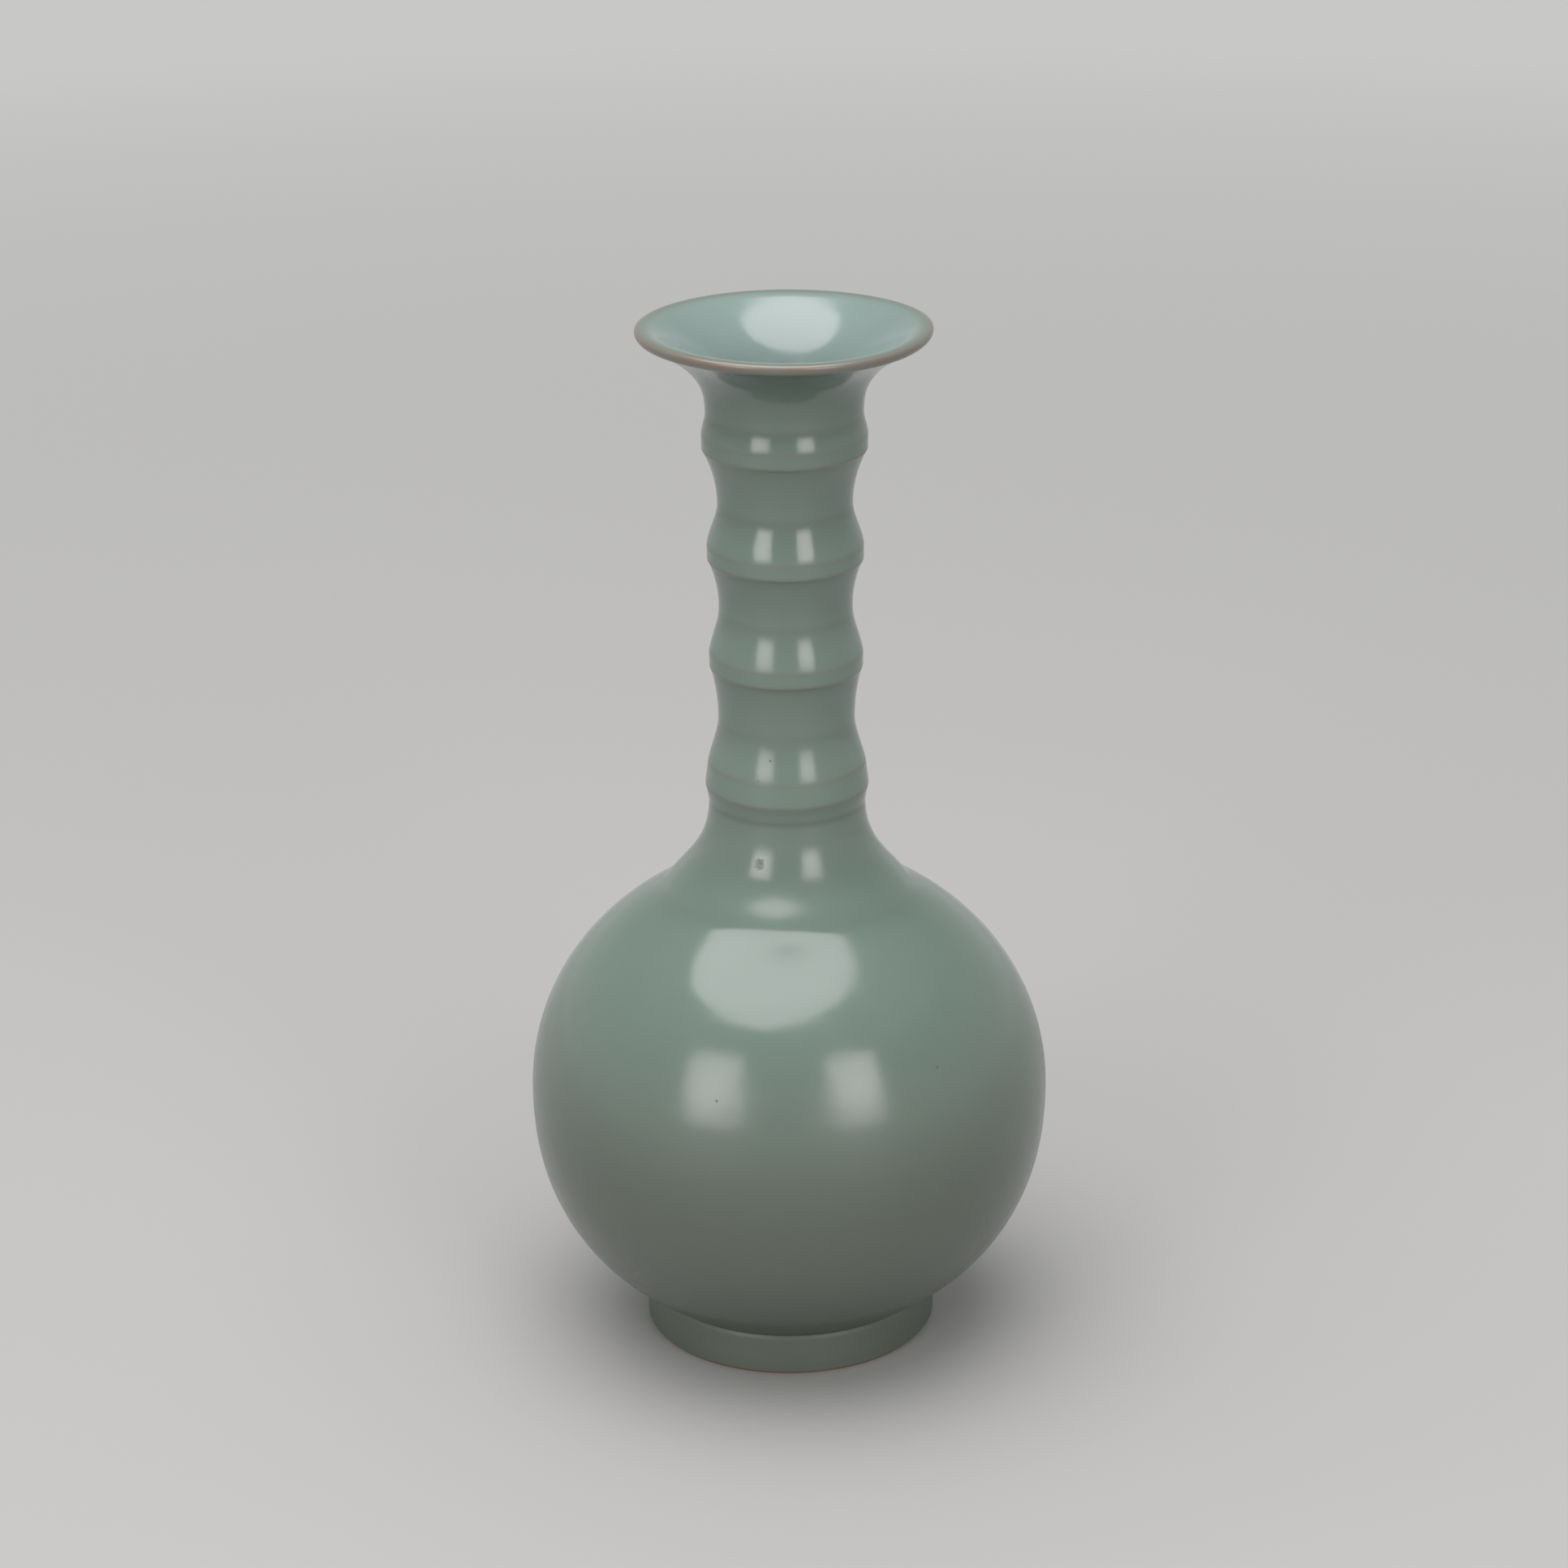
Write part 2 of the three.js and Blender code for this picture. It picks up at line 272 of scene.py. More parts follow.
def lipLine(s):
    # two quarter ellipses outside, then z = top - fall t^2 inwards
    a = np.linspace(0.0, math.pi / 2, 24)
    level = lipTop - s["crown"]
    under = rows(s["radius"] - s["rootInset"] + s["rootInset"] * np.sin(a), level - s["underside"] * np.cos(a))
    over = rows(s["radius"] - s["crownInset"] + s["crownInset"] * np.cos(a), level + s["crown"] * np.sin(a))
    t = np.linspace(0.0, 1.0, 24)[1:]
    inner = rows(s["radius"] - s["crownInset"] - (s["width"] - s["crownInset"]) * t, lipTop - s["fall"] * t ** 2)
    return np.concatenate([under, over[1:], inner])


def insideLine(s):
    # the hollow flare is r = bore + (lip - bore) t^n; the belly's hollow is the belly's curve less its wall
    spread = lip["radius"] - lip["width"] - s["bore"]
    end = lipTop - lip["fall"] - s["depth"]
    share = np.linspace(1.0, 0.0, 240)[1:]
    flare = rows(s["bore"] + spread * share ** 2, end + s["depth"] * share ** (2 / s["power"]))
    full = belly["radius"] - belly["wall"]
    up = (belly["reachUp"] - belly["wall"]) * math.sqrt(1 - ((s["bore"] + s["edge"]) / full) ** 2)
    high, low = widest + up, span("inner_glaze")[0] + layers["glaze"]
    a = np.linspace(0.0, math.pi, 500)
    z = (low + high) / 2 + (high - low) / 2 * np.cos(a)
    hollow = rows(bellyRadius(z, belly["wall"]), z)
    return np.concatenate([flare, [[s["bore"], high + s["edge"]]], hollow, [[0.0, low]]])


step = 0.1  # mm between points of the worked outline


def bell(width):
    # weights e^(-(x / width)^2 / 2) that add up to 1, and how many steps they reach to each side
    reachOut = int(4 * width / step)
    weights = np.exp(-0.5 * (np.arange(-reachOut, reachOut + 1) * step / width) ** 2)
    return weights / weights.sum(), reachOut


def evenly(line):
    # the line as points one step apart
    run = np.concatenate([[0.0], np.cumsum(np.hypot(*np.diff(line, axis=0).T))])
    even = np.linspace(0.0, run[-1], int(run[-1] / step) + 1)
    return np.stack([np.interp(even, run, line[:, k]) for k in (0, 1)], axis=-1)


def softened(line, width):
    # the line blurred by a bell curve, with both ends held
    weights, reachOut = bell(width)
    padded = np.concatenate([
        2 * line[0] - line[reachOut:0:-1],
        line,
        2 * line[-1] - line[-2:-reachOut - 2:-1],
    ])
    return np.stack([np.convolve(padded[:, k], weights, mode="valid") for k in (0, 1)], axis=-1)


def blurred(values, width):
    # values along the line, each the mean of its neighbours weighted by a bell curve
    weights, reachOut = bell(width)
    return np.convolve(np.pad(values, reachOut, mode="edge"), weights, mode="valid")


def normals(line):
    # unit vectors out of the solid, to the right of the way along the line
    d = np.gradient(line, axis=0)
    d /= np.maximum(np.hypot(d[:, 0], d[:, 1]), 1e-9)[:, None]
    return np.stack([d[:, 1], -d[:, 0]], axis=-1)


def bend(line, width):
    # turn per millimetre: above 0 on an outward edge, below 0 in a groove
    d = np.gradient(line, step, axis=0)
    dd = np.gradient(d, step, axis=0)
    return blurred(d[:, 0] * dd[:, 1] - d[:, 1] * dd[:, 0], width)


collarEdge = joints[0] - collar["edgeDrop"]
rounding = {
    "width": 0.35,  # how widely the glaze rounds the outline
    "near": (  # other widths near some levels of the outside, as (level, near, width)
        (ringLevel, 3.5, 1.3), (foot["edge"], 1.0, 0.3), (collarEdge, 1.3, 0.75),
        (joints[1], 0.9, 0.28), (joints[2], 0.9, 0.28), (joints[3], 0.9, 0.28),
    ),
    "under": 0.6,  # width for the clay under it, which follows the outline less closely
}


def eased(line, s):
    # blurred line + share (line blurred by its own width - blurred line), share = e^(-((z - level) / near)^2 / 2)
    out = softened(line, s["width"])
    outer = np.arange(len(line)) < np.argmax(line[:, 1])
    for level, near, width in s["near"]:
        share = np.exp(-0.5 * ((line[:, 1] - level) / near) ** 2) * outer
        out = out + share[:, None] * (softened(line, width) - out)
    return out


outside = [bellyLine(), collarLine(collar)]
for i, segment in enumerate(segments):
    nextPart = segments[i + 1] if i < 2 else mouth
    line = segmentLine(segment, joints[i], joints[i + 1], nextPart["crest"])
    outside.append(line if i else line[1:])  # the lowest band runs straight up from the collar's edge
outside.append(mouthLine(mouth))
skin = eased(evenly(np.concatenate(outside + [lipLine(lip), insideLine(inside)])), rounding)
skin[:, 0] = np.maximum(skin[:, 0], 0.0)
clay = skin - layers["glaze"] * normals(softened(skin, rounding["under"]))
clay[:, 0] = np.maximum(clay[:, 0], 0.0)
crown = int(np.argmax(skin[:, 1]))
lipOut = int(np.argmin(np.abs(skin[:crown, 1] - (lipTop - lip["crown"] - lip["underside"]))))
lipIn = crown + int(np.argmin(np.abs(skin[crown:crown + 200, 0] - (lip["radius"] - lip["width"]))))
print("outline:", len(skin), "points, lip", lipOut, crown, lipIn)


# How thick the glaze lies, and where shade is painted, as values from 0 to 1 along the outline

glazeFlow = {
    "bendWidth": 0.35,  # mm over which the outline's bend is read
    "edgeFrom": 0.04,  # bend at which an edge starts to show through
    "edgeTo": 0.42,
    "edges": 0.5,
    "insideEdges": 0.25,  # share of that below the mouth's inner edge
    "covered": ((ringLevel, 3.0), (foot["edge"], 1.2)),  # levels where no edge shows through, and how near
    "poolTo": 0.25,  # bend of a groove that is full of glaze
    "ringPool": 0.2,  # share of that in the shallow ring under the collar
    "ringNear": 4.0,
    "poolWidth": 0.5,
    "crestLines": (0.4, 0.35, 0.35, 0.2),  # brown line on each crest, from the lowest joint up
    "crestWidth": 0.5,
    "rim": 0.35,  # how thin it is where it ends above the foot's rim, and over how many mm
    "rimWidth": 0.4,
    "lipOut": 1.5,  # mm that the thin glaze of the lip spreads, down its outside and inwards
    "lipIn": 1.15,
    "shadeUnderEdge": 0.4,  # painted shade just under each edge, drawn in the deep glaze colour, and how far down that reaches
    "shadeUnderReach": 2.2,
    "sag": 0.76,  # painted shade: how much darker the glaze is drawn on the lower belly than on the shoulder
    "lowShadeFrom": 118.0,  # level from which that painted shade deepens downwards, and how far down that goes on
    "lowShadeReach": 62.0,
    "inward": 3.0,  # mm from the lip's top over which it turns to the paler inside tone, partly a bluer glaze and partly painted light
    "dull": ((0.23, 104.0, 16.0), (0.77, 26.0, 14.0)),  # duller below these, as (share, level, reach down)
}


def flow(s):
    # thin = the largest of edges, crest lines, lip and rim, a line or the lip being e^(-(d / width)^2 / 2);
    # pool and shade = the largest of glaze pooled in grooves, painted shade fading as e^(-d / reach) under each edge,
    # and painted shade on the lower belly
    turn = bend(skin, s["bendWidth"])
    run = np.arange(len(skin)) * step
    z = skin[:, 1]
    outer = np.arange(len(skin)) < crown
    thin = s["edges"] * np.clip((turn - s["edgeFrom"]) / (s["edgeTo"] - s["edgeFrom"]), 0.0, 1.0)
    thin *= np.where(run > run[lipIn] + 4.0, s["insideEdges"], 1.0)
    for level, near in s["covered"]:
        thin *= 1.0 - outer * np.exp(-0.5 * ((z - level) / near) ** 2)
    for strength, z0, part in zip(s["crestLines"], joints, segments + (mouth,)):
        line = strength * np.exp(-0.5 * ((z - z0 - part["band"] - 0.1) / s["crestWidth"]) ** 2)
        thin = np.maximum(thin, line * outer)
    widestLip = int(np.argmax(skin[lipOut:crown, 0])) + lipOut
    below = np.maximum(run[widestLip] - run, 0.0) / s["lipOut"]
    beyond = np.maximum(run - run[widestLip] - 0.2, 0.0) / s["lipIn"]
    thin = np.maximum(thin, np.exp(-0.5 * (below ** 2 + beyond ** 2)))
    thin = np.maximum(thin, s["rim"] * np.exp(-run / s["rimWidth"]))
    ring = 1.0 - (1.0 - s["ringPool"]) * np.exp(-0.5 * ((z - ringLevel) / s["ringNear"]) ** 2)
    poolAndShade = blurred(np.clip(-turn / s["poolTo"], 0.0, 1.0) * np.where(outer, ring, 1.0), s["poolWidth"])
    # painted shade under the collar's edge and under each joint's edge, fading downwards
    for edge in [collarEdge] + joints[1:]:
        down = edge - 0.3 - z
        under = s["shadeUnderEdge"] * np.exp(-np.maximum(down, 0.0) / s["shadeUnderReach"]) * (down > 0.0)
        poolAndShade = np.maximum(poolAndShade, blurred(under, 0.15) * outer)
    # painted shade, darker from the shoulder down over the lower belly
    sag = s["sag"] * smoothStep(np.clip((s["lowShadeFrom"] - z) / s["lowShadeReach"], 0.0, 1.0)) * outer
    inward = smoothStep(np.clip((run - run[crown]) / s["inward"], 0.0, 1.0))
    dull = sum(share * smoothStep(np.clip((level - z) / down, 0.0, 1.0)) for share, level, down in s["dull"])
    return {
        "glazeThin": blurred(thin, 0.2), "glazePool": np.maximum(poolAndShade, sag),
        "glazeInward": inward, "glazeDull": dull * outer,
    }


flows = flow(glazeFlow)
print("glaze thickness worked out")


# Turned surfaces, with a potter's unevenness that is the same for every layer

hand = {
    "oval": 0.12,  # mm from a true circle
    "ovalDrift": 60.0,  # mm of height over which the oval turns by a radian
    "ridge": 0.010,  # mm, faint throwing lines
    "ridgePitch": 7.0,
    "rimWave": 0.22,  # mm, how far the rim rises and falls
    "rimFrom": 258.0,  # level from which the neck follows it, and how many mm that takes
    "rimOver": 22.0,
}


def uneven(r, z, a):
    # r + share (oval sin(2a + z / drift) + ridge sin(2 pi z / pitch)), the share growing from the axis to 20 mm out,
    # and z + wave (sin(2a) + sin(3a) / 2) near the rim
    share = np.clip(r / 20.0, 0.0, 1.0)
    oval = hand["oval"] * np.sin(2 * a + 0.7 + z / hand["ovalDrift"])
    ridge = hand["ridge"] * np.sin(2 * math.pi * z / hand["ridgePitch"] + 0.5 * np.sin(a))
    near = smoothStep(np.clip((z - hand["rimFrom"]) / hand["rimOver"], 0.0, 1.0)) * np.clip(r / 30.0, 0.0, 1.0)
    lift = hand["rimWave"] * near * (np.sin(2 * a + 0.9) + 0.5 * np.sin(3 * a + 2.0) - 1.3)
    return r + share * (oval + ridge), z + lift


def turned(name, line, values, columns):
    # each row of the line is carried round Z: (r cos a, r sin a, z), the unevenness included;
    # a closed line ends on its first row, and one that starts and ends on the axis is closed there
    closed = line[0, 0] > 1e-6
    a = np.linspace(0.0, 2 * math.pi, columns, endpoint=False)[None, :]
    r, z = uneven(line[:, :1], line[:, 1:], a)
    points = np.stack([r * np.cos(a), r * np.sin(a), z + 0 * a], axis=-1).reshape(-1, 3) * mm
    count = len(line)
    i = np.arange(count if closed else count - 1)[:, None] * columns
    j = np.arange(columns)[None, :]
    k = (j + 1) % columns
    up = (i + columns) % (count * columns)
    quads = np.stack([i + j, i + k, up + k, up + j], axis=-1).reshape(-1, 4)
    mesh = bpy.data.meshes.new(name)
    mesh.vertices.add(len(points))
    mesh.vertices.foreach_set("co", points.ravel())
    mesh.loops.add(quads.size)
    mesh.loops.foreach_set("vertex_index", quads.ravel())
    mesh.polygons.add(len(quads))
    mesh.polygons.foreach_set("loop_start", np.arange(len(quads)) * 4)
    mesh.update()
    for key, value in values.items():
        attribute = mesh.attributes.new(key, "FLOAT", "POINT")
        attribute.data.foreach_set("value", np.repeat(value, columns).astype(np.float32))
    shape = bmesh.new()
    shape.from_mesh(mesh)
    bmesh.ops.remove_doubles(shape, verts=shape.verts, dist=1e-7)
    bmesh.ops.recalc_face_normals(shape, faces=shape.faces)
    shape.to_mesh(mesh)
    shape.free()
    mesh.polygons.foreach_set("use_smooth", np.ones(len(mesh.polygons), dtype=bool))
    mesh.set_sharp_from_angle(angle=math.radians(50.0))  # so that a coat's end doesn't tilt the shading beside it
    obj = bpy.data.objects.new(name, mesh)
    bpy.context.scene.collection.objects.link(obj)
    return obj


def picked(low, high, count, crowd):
    # indices of count points between two, closer together where the outline bends:
    # each step of the outline counts as 1 + crowd min(bend, 0.5) of the way
    weight = np.cumsum(1.0 + crowd * np.minimum(np.abs(bend(skin, 0.5)[low:high + 1]), 0.5))
    at = np.interp(np.linspace(weight[0], weight[-1], count), weight, np.arange(low, high + 1))
    return np.unique(np.round(at).astype(int))


def crossing(line, low, high, z):
    # where the line between two points first passes a level, as an index with a fraction
    part = line[low:high + 1, 1]
    k = int(np.argmax((part[:-1] - z) * (part[1:] - z) <= 0))
    return low + k + (z - part[k]) / (part[k + 1] - part[k])


def stretch(line, start, end, count):
    # points evenly along the line from one fractional index to another, either way
    at = np.linspace(start, end, count)
    index = np.arange(len(line))
    return np.stack([np.interp(at, index, line[:, k]) for k in (0, 1)], axis=-1)


def pieceName(name):
    # foot_ring becomes footRing; mouth would stay the CAD node's own name
    words = name.split("_")
    return "dishMouth" if name == "mouth" else words[0] + "".join(word.capitalize() for word in words[1:])


finish = {
    "columns": 144,  # round a coat, and round the foot
    "clayColumns": 96,
    "crowdOut": 14.0,  # how much closer a coat's rows lie where the outline bends
    "crowdUnder": 6.0,  # and on its underside
    "claySpacing": 0.9,  # mm between rows of clay
}


def coat(name, low, high, count, under):
    # the skin between two points, and back along the clay: a closed shell
    outer = picked(low, high, count, finish["crowdOut"])
    inner = picked(low, high, under, finish["crowdUnder"])[::-1]
    if skin[high, 0] < 1e-6:  # it ends on the axis, so it starts and ends there
        line, at = np.concatenate([clay[inner], skin[outer]]), np.concatenate([inner, outer])
    else:
        line, at = np.concatenate([skin[outer], clay[inner]]), np.concatenate([outer, inner])
    return turned(pieceName(name), line, {key: value[at] for key, value in flows.items()}, finish["columns"])


last = len(skin) - 1
pieces = {}
coats = (  # first and last point, rows on the skin and rows under it
    ("outer_glaze", 0, lipOut, 440, 150),
    ("lip_glaze", lipOut, lipIn, 70, 30),
    ("inner_glaze", lipIn, last, 300, 120),
)
for name, low, high, count, under in coats:
    pieces[name] = coat(name, low, high, count, under)
print("glaze coats made")


def outAt(z):
    # where the clay's outside passes a level
    return crossing(clay, 0, lipOut, z)


def inAt(z):
    # and its inside
    return crossing(clay, lipIn, last, z)


def clayPiece(name, outer, inner, count=None, innerCount=None):
    # a ring of wall: up the outside between two points, then down the inside;
    # the one that ends on the axis is the lowest, and it starts there too, on top of the slip
    count = count or max(int(abs(outer[1] - outer[0]) * step / finish["claySpacing"]), 3)
    line = np.concatenate([stretch(clay, *outer, count), stretch(clay, *inner, innerCount or count)])
    if inner[1] == last:
        line[-1, 0] = 0.0
        line = np.concatenate([[[0.0, slipTop]], line])
    return turned(pieceName(name), line, {}, finish["clayColumns"])


slips = ["slip_belly", "slip_shoulder"] + jointSlips
# where each slip ends above and below, as (outside, inside)
above = [(outAt(seams[slip][0] + half), inAt(seams[slip][1] + half)) for slip in slips]
below = [(outAt(seams[slip][0] - half), inAt(seams[slip][1] - half)) for slip in slips]
pieces["lower_belly"] = clayPiece("lower_belly", (outAt(slipTop), below[0][0]), (below[0][1], last), 120)
between = ("upper_belly", "neck_collar", "neck_segment_low", "neck_segment_middle", "neck_segment_high")
for i, name in enumerate(between):
    pieces[name] = clayPiece(name, (above[i][0], below[i + 1][0]), (below[i + 1][1], above[i][1]))
pieces["mouth"] = clayPiece("mouth", (above[-1][0], lipIn), (lipIn + 1, above[-1][1]), 180, 120)
for name, high, low in zip(slips, above, below):
    pieces[name] = clayPiece(name, (low[0], high[0]), (high[1], low[1]))
print("clay sections and slip made")


def rounded(points, radii, count=6):
    # a closed ring of corners, each cut back by its radius at a and b
    # and rounded by a curve drawn towards the corner: (1-t)^2 a + 2 t (1-t) p + t^2 b
    out = []
    size = len(points)
    for i, (p, radius) in enumerate(zip(points, radii)):
        before, after = points[i - 1], points[(i + 1) % size]
        a = p + (before - p) / np.linalg.norm(before - p) * radius
        b = p + (after - p) / np.linalg.norm(after - p) * radius
        t = np.linspace(0.0, 1.0, count)[:, None]
        out.append((1 - t) ** 2 * a + 2 * t * (1 - t) * p + t ** 2 * b)
    return np.concatenate(out)


def clayRadius(z):
    # the clay's outer radius at a level
    return float(np.interp(outAt(z), np.arange(len(clay)), clay[:, 0]))


outRim = foot["radius"] - layers["glaze"]
well = outRim - foot["width"]
atRing, atSlip = clayRadius(ringTop), clayRadius(slipTop)
ring = np.array([[well, 0.0], [outRim, 0.0], [outRim, foot["taperFrom"]], [atRing, ringTop], [well, ringTop]])
ringRadii = (foot["bevel"], foot["bevel"], 0.5, 0.05, 0.05)
pieces["foot_ring"] = turned(pieceName("foot_ring"), rounded(ring, ringRadii), {}, finish["columns"])
slipRing = np.array([[well, ringTop], [atRing, ringTop], [atSlip, slipTop], [well, slipTop]])
pieces["slip_foot"] = turned(pieceName("slip_foot"), rounded(slipRing, (0.02,) * 4, 3), {}, finish["columns"])
face, roof, end = well - layers["glaze"], slipTop - layers["glaze"], layers["bareWell"]
wellLine = np.array([  # radius, level and how thin the glaze lies there: along its face, then back along the clay
    [0.0, roof, 0.0], [well - 9.0, roof, 0.0], [face - 1.6, roof - 0.15, 0.1], [face - 0.5, roof - 0.8, 0.1],
    [face, roof - 2.0, 0.0], [face, end + 0.5, 0.5], [well - 0.3, end + 0.08, 1.0], [well, end, 1.0],
    [well, ringTop, 0.0], [well, slipTop, 0.0], [well - 8.0, slipTop, 0.0], [0.0, slipTop, 0.0],
])
even = np.zeros(len(wellLine))
wellFlow = {"glazeThin": wellLine[:, 2], "glazePool": even, "glazeInward": even, "glazeDull": even + 1.0}
pieces["foot_well_glaze"] = turned(pieceName("foot_well_glaze"), wellLine[:, :2], wellFlow, finish["columns"])
print("foot made")


# Materials

def linear(r, g, b):
    # a colour given as 0 to 255 screen values, as the shader wants it
    c = np.array([r, g, b]) / 255.0
    c = np.where(c <= 0.04045, c / 12.92, ((c + 0.055) / 1.055) ** 2.4)
    return (float(c[0]), float(c[1]), float(c[2]), 1.0)


def newGroup(name, inputs, outputs):
    # a shader group with inputs as (label, kind, value) and outputs as (label, kind)
    tree = bpy.data.node_groups.new(name, "ShaderNodeTree")
    for label, kind, value in inputs:
        socket = tree.interface.new_socket(label, in_out="INPUT", socket_type="NodeSocket" + kind)
        if value is not None:
            socket.default_value = value
    for label, kind in outputs:
        tree.interface.new_socket(label, in_out="OUTPUT", socket_type="NodeSocket" + kind)
    return tree, tree.nodes.new("NodeGroupInput"), tree.nodes.new("NodeGroupOutput")


def node(tree, kind, **settings):
    # a shader node of a kind, with its settings
    made = tree.nodes.new("ShaderNode" + kind)
    for key, value in settings.items():
        setattr(made, key, value)
    return made


def feed(tree, target, values):
    # values are numbers, or sockets to link from
    for key, value in values.items():
        socket = target.inputs[key]
        if isinstance(value, bpy.types.NodeSocket):
            tree.links.new(value, socket)
        else:
            socket.default_value = value
    return target


def maths(tree, operation, a, b=0.5, clamp=False):
    # the operation on a and b, and if clamped then held between 0 and 1
    made = node(tree, "Math", operation=operation, use_clamp=clamp)
    return feed(tree, made, {0: a, 1: b}).outputs[0]


def mapped(tree, value, fromMin, fromMax, toMin, toMax):
    # the value carried in a straight line from one range to the other, and held at its ends
    made = node(tree, "MapRange")
    feed(tree, made, {"Value": value, "From Min": fromMin, "From Max": fromMax, "To Min": toMin, "To Max": toMax})
    return made.outputs["Result"]


def noise(tree, place, scale, detail=2.0, roughness=0.5):
    # smooth random values round 0.5, with scale bumps to the metre
    made = node(tree, "TexNoise")
    feed(tree, made, {"Vector": place, "Scale": scale, "Detail": detail, "Roughness": roughness})
    return made.outputs["Fac"]


def mixed(tree, factor, a, b, blend="MIX"):
    # (1 - factor) a + factor b, where b stands for a times b if they are multiplied
    made = node(tree, "Mix", data_type="RGBA", blend_type=blend)
    feed(tree, made, {"Factor": factor, "A": a, "B": b})
    return made.outputs["Result"]


def cloudGroup():
    # slow drift and fine mottle, as a value round 1
    tree, into, out = newGroup("cloud", [("Place", "Vector", None), ("Amount", "Float", 0.05)], [("Value", "Float")])
    broad = noise(tree, into.outputs["Place"], 14.0, 2.0)
    fine = noise(tree, into.outputs["Place"], 120.0, 3.0)
    both = maths(tree, "ADD", maths(tree, "MULTIPLY", broad, 1.3), maths(tree, "MULTIPLY", fine, 0.7))
    spread = maths(tree, "MULTIPLY", maths(tree, "SUBTRACT", both, 1.0), into.outputs["Amount"])
    tree.links.new(maths(tree, "ADD", spread, 1.0), out.inputs["Value"])
    return tree


def speckGroup():
    # tiny dots, one in some cells of a Voronoi pattern: 1 in a dot and 0 outside
    tree, into, out = newGroup("specks", [
        ("Place", "Vector", None), ("Scale", "Float", 200.0), ("Size", "Float", 0.1), ("Share", "Float", 0.2),
    ], [("Mask", "Float")])
    cells = node(tree, "TexVoronoi")
    feed(tree, cells, {"Vector": into.outputs["Place"], "Scale": into.outputs["Scale"]})
    near = maths(tree, "LESS_THAN", cells.outputs["Distance"], into.outputs["Size"])
    pick = node(tree, "SeparateColor")
    tree.links.new(cells.outputs["Color"], pick.inputs["Color"])
    few = maths(tree, "LESS_THAN", pick.outputs["Red"], into.outputs["Share"])
    tree.links.new(maths(tree, "MULTIPLY", near, few), out.inputs["Mask"])
    return tree


def peelGroup():
    # the slight waviness of a fired glaze, as a height
    tree, into, out = newGroup("glazeSurface", [("Place", "Vector", None)], [("Height", "Float")])
    slow = noise(tree, into.outputs["Place"], 60.0, 1.0)
    fast = noise(tree, into.outputs["Place"], 230.0, 2.0)
    tree.links.new(maths(tree, "ADD", slow, maths(tree, "MULTIPLY", fast, 0.25)), out.inputs["Height"])
    return tree


def flowGroup():
    # colour of the glaze by how thick it lies: body, deep in the pools and in the painted shade, brown where it
    # thins, paler inside, partly as painted light
    tree, into, out = newGroup("glazeTone", [
        ("Place", "Vector", None), ("Thin", "Float", 0.0), ("Pool", "Float", 0.0), ("Inward", "Float", 0.0),
        ("Body", "Color", None), ("Deep", "Color", None), ("Brown", "Color", None), ("Inside", "Color", None),
    ], [("Color", "Color")])
    # the paler inside tone is partly painted light from above
    body = mixed(tree, into.outputs["Inward"], into.outputs["Body"], into.outputs["Inside"])
    pooledAndShaded = mixed(tree, into.outputs["Pool"], body, into.outputs["Deep"])
    patchy = mapped(tree, noise(tree, into.outputs["Place"], 75.0, 2.0), 0.3, 0.62, 0.55, 1.0)
    thin = maths(tree, "MULTIPLY", into.outputs["Thin"], patchy, clamp=True)
    tree.links.new(mixed(tree, thin, pooledAndShaded, into.outputs["Brown"]), out.inputs["Color"])
    return tree


def spotGroup():
    # a round flaw with an uneven edge: Disc is 1 inside and 0 outside, Halo is 1 on a ring just outside it
    tree, into, out = newGroup("spot", [
        ("Place", "Vector", None), ("Centre", "Vector", None), ("Radius", "Float", 0.001),
    ], [("Disc", "Float"), ("Halo", "Float")])
    apart = node(tree, "VectorMath", operation="DISTANCE")
    feed(tree, apart, {0: into.outputs["Place"], 1: into.outputs["Centre"]})
    share = maths(tree, "DIVIDE", apart.outputs["Value"], into.outputs["Radius"])
    ragged = mapped(tree, noise(tree, into.outputs["Place"], 1300.0, 1.0), 0.3, 0.7, 0.78, 1.25)
    share = maths(tree, "MULTIPLY", share, ragged)
    tree.links.new(mapped(tree, share, 0.4, 1.0, 1.0, 0.0), out.inputs["Disc"])
    ring = maths(tree, "ABSOLUTE", maths(tree, "SUBTRACT", share, 1.3))
    tree.links.new(mapped(tree, ring, 0.1, 0.4, 1.0, 0.0), out.inputs["Halo"])
    return tree


groups = {
    "cloud": cloudGroup(), "specks": speckGroup(), "surface": peelGroup(), "tone": flowGroup(), "spot": spotGroup(),
}


def placed(tree, name, values):
    # one of the groups, fed with these values
    made = node(tree, "Group", node_tree=groups[name])
    return feed(tree, made, values)


def newMaterial(name):
    # a material with its tree, its shader and the place on the object, in metres
    material = bpy.data.materials.new(name)
    material.use_nodes = True
    tree = material.node_tree
    place = node(tree, "TexCoord").outputs["Object"]
    return material, tree, tree.nodes["Principled BSDF"], place


glaze = {
    "body": (119, 141, 130),
    # deep is both glaze pooled in grooves and the painted shade under the edges and on the lower belly
    "deep": (90, 98, 85),
    "brown": (122, 112, 99),
    # paler inside colour, partly painted light where the mouth faces the lamp above
    "inside": (136, 158, 152),
    "cloud": 0.07,
    "iron": {"Scale": 95.0, "Size": 0.022, "Share": 0.10},
    "ironColour": (70, 58, 46),
    "ironStrength": 0.45,
    "pinholes": {"Scale": 160.0, "Size": 0.03, "Share": 0.07},
    "pinDepth": 0.8,  # against the height of the ripples
    "flawDepth": 2.5,
    "flawColour": (56, 54, 46),
    "haloColour": (168, 176, 164),
    "ripple": 0.0001,  # metres, height of the ripples
    "roughness": 0.16,
    "patches": (-0.03, 0.05),  # how much smoother and rougher it is in places
    "worn": 0.3,  # how much rougher it is where it thins
    "dull": 0.3,  # and towards the foot
    "index": 1.55,
    "shine": 0.8,
}
lipGlaze = dict(glaze, brown=(133, 121, 108), worn=0.08)
